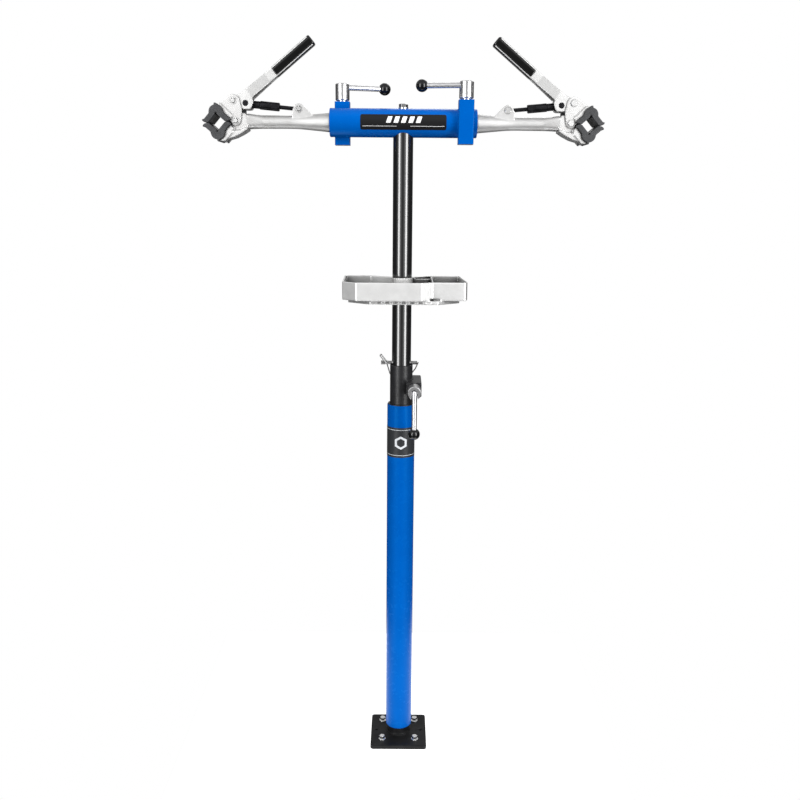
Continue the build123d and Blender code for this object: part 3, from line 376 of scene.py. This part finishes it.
def add_piece(name, mesh, mat, body):
    """Link a finished mesh as a smooth-shaded piece that rides on a body."""
    piece = bpy.data.objects.new(name, mesh)
    scene.collection.objects.link(piece)
    for face in mesh.polygons:
        face.use_smooth = True
    paint(piece, mat)
    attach(piece, body)
    return piece


def softened(node, voxel, passes, turn=0.0):
    """Stand for a cast or moulded CAD node with its own shape, edges rounded as the mould leaves them.

    The turn, in degrees about Y, lines the node's sloping flat faces up with the voxels.
    """
    spin = Matrix.Rotation(radians(turn), 4, "Y")
    copy = frame["nodes"][node].data.copy()
    copy.transform(spin)
    draft = bpy.data.objects.new("draft", copy)
    scene.collection.objects.link(draft)
    remesh = draft.modifiers.new("even mesh", "REMESH")
    remesh.mode = "VOXEL"
    remesh.voxel_size = voxel
    smooth = draft.modifiers.new("soft edges", "SMOOTH")
    smooth.factor = 0.5
    smooth.iterations = passes
    graph = bpy.context.evaluated_depsgraph_get()
    mesh = bpy.data.meshes.new_from_object(draft.evaluated_get(graph))
    bpy.data.objects.remove(draft)
    mesh.transform(spin.inverted())
    mat = MATERIALS[OWN_MATERIAL.get(node, slot_of_node(node))]
    piece = add_piece(f"{node}_surface", mesh, mat, body_of_node(node))
    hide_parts(node)
    return piece


def bead(name, path, radius, mat, body):
    """A weld bead: a closed tube along the path, with the ripples of its laid-down drops."""
    around, ripple = 10, 0.16
    mesh = bpy.data.meshes.new(name)
    work = bmesh.new()
    count = len(path)
    rings = []
    for index, point in enumerate(path):
        ahead = (path[(index + 1) % count] - path[index - 1]).normalized()
        side = ahead.orthogonal().normalized()
        up = ahead.cross(side)
        swell = radius * (1 + ripple * sin(index * 2 * pi / 4))
        ring = []
        for step in range(around):
            turn = 2 * pi * step / around
            offset = side * cos(turn) + up * sin(turn)
            ring.append(work.verts.new(point + offset * swell))
        rings.append(ring)
    for index, ring in enumerate(rings):
        following = rings[(index + 1) % count]
        shift = min(range(around), key=lambda s: (following[s].co - ring[0].co).length)
        for step in range(around):
            corner = (step + shift) % around
            work.faces.new((ring[step], ring[(step + 1) % around],
                            following[(corner + 1) % around], following[corner]))
    bmesh.ops.recalc_face_normals(work, faces=work.faces)
    work.to_mesh(mesh)
    work.free()
    piece = add_piece(name, mesh, mat, body)
    return piece


def resample(points, step):
    """Points along a closed path, evenly spaced."""
    loop = points + [points[0]]
    lengths = [(b - a).length for a, b in zip(loop, loop[1:])]
    total = sum(lengths)
    count = int(total / step)
    out = []
    for index in range(count):
        target = total * index / count
        for start, end, length in zip(loop, loop[1:], lengths):
            if target <= length:
                out.append(start.lerp(end, target / length))
                break
            target -= length
    return out


def saddle_loop(tube_r, half):
    """Joint line of a square housing against a tube along X; the housing lies towards +Y."""
    face_y = HOUSING_OFFSET - HOUSING_HALF
    limit = atan2(sqrt(tube_r ** 2 - face_y ** 2), face_y)
    steps = 16
    arc = [limit - 2 * limit * index / steps for index in range(steps + 1)]
    one = [Vector((half, tube_r * cos(a), tube_r * sin(a))) for a in arc]
    other = [Vector((-half, tube_r * cos(a), tube_r * sin(a))) for a in reversed(arc)]
    return one + other


# ---- carried-over CAD pieces ----------------------------------------------------------------------
for node, obj in frame["nodes"].items():
    paint(obj, MATERIALS[OWN_MATERIAL.get(node, slot_of_node(node))])

softened("tray", 1.2 * MM, 3)
softened("tray_collar", 0.8 * MM, 3)
softened("base_plate", 1.2 * MM, 4)
for side, sign in SIDES.items():
    softened(f"{side}_arm", 1.0 * MM, 6)
    softened(f"{side}_moving_jaw", 0.6 * MM, 8)
    softened(f"{side}_lever", 0.8 * MM, 4, HANDLE_ANGLE * sign)
    softened(f"{side}_grip", 0.8 * MM, 24, HANDLE_ANGLE * sign)
    softened(f"{side}_fixed_pad", 0.8 * MM, 3, PAD_ANGLE * sign)
    softened(f"{side}_moving_pad", 0.8 * MM, 3, PAD_ANGLE * sign)

# ---- welds ------------------------------------------------------------------------------------------
BEAD_STEP = 1.1 * MM
STUB_BEAD_R = 2.0 * MM
HOUSING_BEAD_R = 1.5 * MM
SLEEVE_BEAD_R = 1.7 * MM


def ring_loop(radius, height, steps=64):
    """Points round a level circle about the stand's axis."""
    return [Vector((cos(2 * pi * i / steps) * radius, sin(2 * pi * i / steps) * radius, height))
            for i in range(steps)]


def weld(name, path, radius, paint_name, body):
    """A bead along the path in the paint of the pieces it joins."""
    bead(name, resample(path, BEAD_STEP), radius, MATERIALS[paint_name], body)


weld("stub_weld", ring_loop(STUB_R + 2.2 * MM, PLATE_TOP + 1.6 * MM), STUB_BEAD_R, "black_plate", "post")
for side, sign in SIDES.items():
    facing = Matrix.Rotation(0 if sign > 0 else pi, 4, "Z")
    place = Matrix.Translation((-sign * BEAM_LOCK_X, 0, BEAM_Z)) @ facing
    joint_line = [place @ p for p in saddle_loop(BEAM_R, HOUSING_HALF)]
    weld(f"{side}_housing_weld", joint_line, HOUSING_BEAD_R, "blue_paint", "mast")
upright = Matrix(((0, 1, 0, 0), (0, 0, 1, 0), (1, 0, 0, HEIGHT_LOCK_Z), (0, 0, 0, 1)))
joint_line = [upright @ p for p in saddle_loop(SLEEVE_R, HOUSING_HALF)]
weld("sleeve_weld", joint_line, SLEEVE_BEAD_R, "dark_paint", "post")


# ---- studio -----------------------------------------------------------------------------------------
def white_floor():
    """Plain pale floor around the stand's foot."""
    half, glow = 0.5, 0.65
    corners = [(-half, -half, 0), (half, -half, 0), (half, half, 0), (-half, half, 0)]
    mesh = bpy.data.meshes.new("floor")
    mesh.from_pydata(corners, [], [(0, 1, 2, 3)])
    floor = bpy.data.objects.new("floor", mesh)
    scene.collection.objects.link(floor)
    mat = principled("pale_floor", (0.9, 0.9, 0.9), 0.7)
    mottle(mat, spread(mat, noise(mat, 3), 0, 1), (0.89, 0.89, 0.89), (0.92, 0.92, 0.92))
    shader_input(mat, "Emission Color").default_value = (1, 1, 1, 1)
    shader_input(mat, "Emission Strength").default_value = glow
    shader_input(mat, "Specular IOR Level").default_value = 0.0
    paint(floor, mat)


def softbox(name, azimuth, elevation, distance, size, power, mirrored=True):
    """A rectangular studio light aimed at the stand. Azimuth 0 is the camera's side, in degrees.

    A box that isn't mirrored lights the stand and doesn't show in its reflections.
    """
    aim = Vector((0, 0, 1.0))
    light = bpy.data.lights.new(name, "AREA")
    light.shape = "RECTANGLE"
    light.size, light.size_y = size
    light.energy = power
    box = bpy.data.objects.new(name, light)
    scene.collection.objects.link(box)
    a, e = radians(azimuth), radians(elevation)
    back = Vector((sin(a) * cos(e), -cos(a) * cos(e), sin(e)))
    box.location = aim + back * distance
    box.rotation_euler = (-back).to_track_quat("-Z", "Y").to_euler()
    box.visible_camera = False
    box.visible_glossy = mirrored


def studio_world():
    """White to the camera. In reflections a bright front with a dim gap in its middle, dark sides, a
    pale ceiling and a dim wall behind, each faded by where the ray points."""
    world = bpy.data.worlds.new("studio")
    scene.world = world
    world.use_nodes = True
    tree = world.node_tree
    tree.nodes.clear()
    place = tree.nodes.new("ShaderNodeTexCoord")
    split = tree.nodes.new("ShaderNodeSeparateXYZ")
    around = tree.nodes.new("ShaderNodeBackground")
    white = tree.nodes.new("ShaderNodeBackground")
    path = tree.nodes.new("ShaderNodeLightPath")
    mix = tree.nodes.new("ShaderNodeMixShader")
    out = tree.nodes.new("ShaderNodeOutputWorld")
    links = tree.links

    def fade(value, start, end, low, high):
        ramp = tree.nodes.new("ShaderNodeMapRange")
        ramp.interpolation_type = "SMOOTHSTEP"
        for socket, limit in zip(("From Min", "From Max", "To Min", "To Max"), (start, end, low, high)):
            ramp.inputs[socket].default_value = limit
        links.new(value, ramp.inputs["Value"])
        return ramp.outputs["Result"]

    def calculate(operation, first, second):
        made = tree.nodes.new("ShaderNodeMath")
        made.operation = operation
        links.new(first, made.inputs[0])
        links.new(second, made.inputs[1])
        return made.outputs[0]

    links.new(place.outputs["Generated"], split.inputs["Vector"])
    sideways = tree.nodes.new("ShaderNodeMath")
    sideways.operation = "ABSOLUTE"
    links.new(split.outputs["X"], sideways.inputs[0])
    front = fade(split.outputs["Y"], -0.3, -0.75, 0.05, 1.0)
    gap = fade(sideways.outputs[0], 0.16, 0.4, 0.16, 0.95)
    ground = fade(split.outputs["Z"], -0.6, -0.1, 0.3, 1.0)
    ceiling = fade(split.outputs["Z"], 0.15, 0.5, 0.0, 0.5)
    wall = fade(split.outputs["Y"], 0.95, 0.98, 0.0, 0.35)
    sides = calculate("MULTIPLY", calculate("MULTIPLY", front, gap), ground)
    strength = calculate("ADD", calculate("ADD", sides, ceiling), wall)
    links.new(strength, around.inputs["Strength"])
    for node in (around, white):
        node.inputs["Color"].default_value = (1, 1, 1, 1)
    white.inputs["Strength"].default_value = 1.0
    links.new(path.outputs["Is Camera Ray"], mix.inputs["Fac"])
    links.new(around.outputs["Background"], mix.inputs[1])
    links.new(white.outputs["Background"], mix.inputs[2])
    links.new(mix.outputs["Shader"], out.inputs["Surface"])


def photo_camera():
    """Camera at the photograph's height, distance, pitch and slight roll."""
    pitch, roll = radians(12.7), radians(0.467)
    place = (0, -1.892, 1.2435)
    data = bpy.data.cameras.new("camera")
    data.sensor_width = 36.0
    data.lens = 39.825
    data.shift_x = -0.001375
    camera = bpy.data.objects.new("camera", data)
    scene.collection.objects.link(camera)
    aim = Matrix.Rotation(pi / 2 - pitch, 4, "X") @ Matrix.Rotation(roll, 4, "Z")
    camera.matrix_world = Matrix.Translation(place) @ aim
    scene.camera = camera


white_floor()
studio_world()
softbox("left_strip", azimuth=-41, elevation=8, distance=2.6, size=(0.8, 2.6), power=42)
softbox("right_strip", azimuth=43, elevation=8, distance=2.6, size=(0.9, 2.6), power=52)
softbox("top_box", azimuth=10, elevation=70, distance=2.6, size=(2.0, 1.4), power=32, mirrored=False)
softbox("back_box", azimuth=165, elevation=40, distance=3.0, size=(1.6, 1.2), power=14)
scene.view_settings.view_transform = "Standard"
scene.view_settings.look = "None"
photo_camera()
